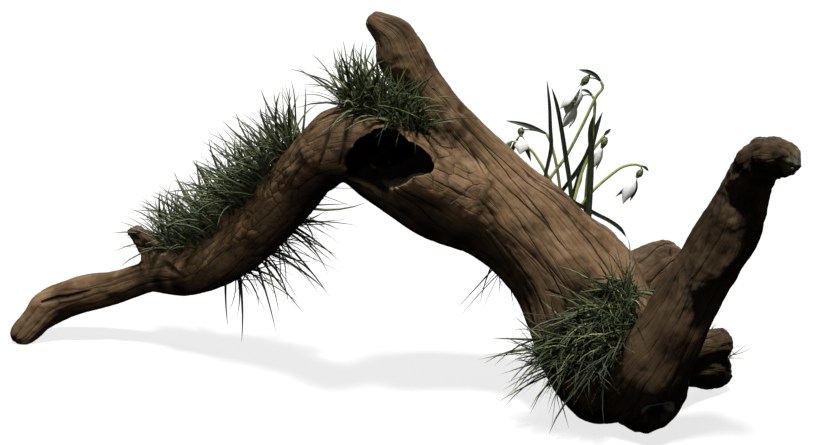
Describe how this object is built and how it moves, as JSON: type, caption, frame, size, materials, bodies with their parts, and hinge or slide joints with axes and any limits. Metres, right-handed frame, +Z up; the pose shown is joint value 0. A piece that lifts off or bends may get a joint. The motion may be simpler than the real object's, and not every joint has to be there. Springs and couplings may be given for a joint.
{
  "type": "fallen tree branch",
  "caption": "Weathered forked branch arching over the ground, with grass tufts and drooping white snowdrops growing on it.",
  "frame": {"origin": "middle of the flat underside of the heel, where the trunk and the right limb meet the ground", "axes": "+X to the right along the branch's length, +Y away from the viewer, +Z up from the ground"},
  "size_m": [0.6064, 0.2596, 0.2999],
  "materials": {
    "wood": "weathered grey-brown wood with long wavy grooves and cracked bark",
    "grass": "dull green to straw-coloured grass blades",
    "leaf": "dark green strap leaves, faintly ribbed",
    "stem": "smooth yellow-green stems and seed cases",
    "petal": "matt white petals, inner ones marked with green"
  },
  "bodies": {
    "root": {"back_stub": "wood", "grass_arch_top": "grass", "grass_back_stub": "grass", "grass_crotch": "grass", "grass_left_limb": "grass", "grass_trunk_back": "grass", "grass_under_limb": "grass", "knuckle_stub": "wood", "leaf_1": "leaf", "leaf_2": "leaf", "leaf_3": "leaf", "leaf_4": "leaf", "leaf_5": "leaf", "leaf_6": "leaf", "left_limb": "wood", "lower_stub": "wood", "right_limb": "wood", "snowdrop_a_cup": "petal", "snowdrop_a_ovary": "stem", "snowdrop_a_petal_1": "petal", "snowdrop_a_petal_2": "petal", "snowdrop_a_petal_3": "petal", "snowdrop_a_spathe": "leaf", "snowdrop_a_stem": "stem", "snowdrop_b_cup": "petal", "snowdrop_b_ovary": "stem", "snowdrop_b_petal_1": "petal", "snowdrop_b_petal_2": "petal", "snowdrop_b_petal_3": "petal", "snowdrop_b_spathe": "leaf", "snowdrop_b_stem": "stem", "snowdrop_c_cup": "petal", "snowdrop_c_ovary": "stem", "snowdrop_c_petal_1": "petal", "snowdrop_c_petal_2": "petal", "snowdrop_c_petal_3": "petal", "snowdrop_c_spathe": "leaf", "snowdrop_c_stem": "stem", "snowdrop_d_cup": "petal", "snowdrop_d_ovary": "stem", "snowdrop_d_petal_1": "petal", "snowdrop_d_petal_2": "petal", "snowdrop_d_petal_3": "petal", "snowdrop_d_spathe": "leaf", "snowdrop_d_stem": "stem", "snowdrop_e_ovary": "stem", "snowdrop_e_petal_1": "petal", "snowdrop_e_petal_2": "petal", "snowdrop_e_petal_3": "petal", "snowdrop_e_stem": "stem", "snowdrop_f_ovary": "stem", "snowdrop_f_petal_1": "petal", "snowdrop_f_petal_2": "petal", "snowdrop_f_petal_3": "petal", "snowdrop_f_spathe": "leaf", "snowdrop_f_stem": "stem", "trunk": "wood", "twig_stub": "wood", "upper_limb": "wood"}
  },
  "joints": []
}
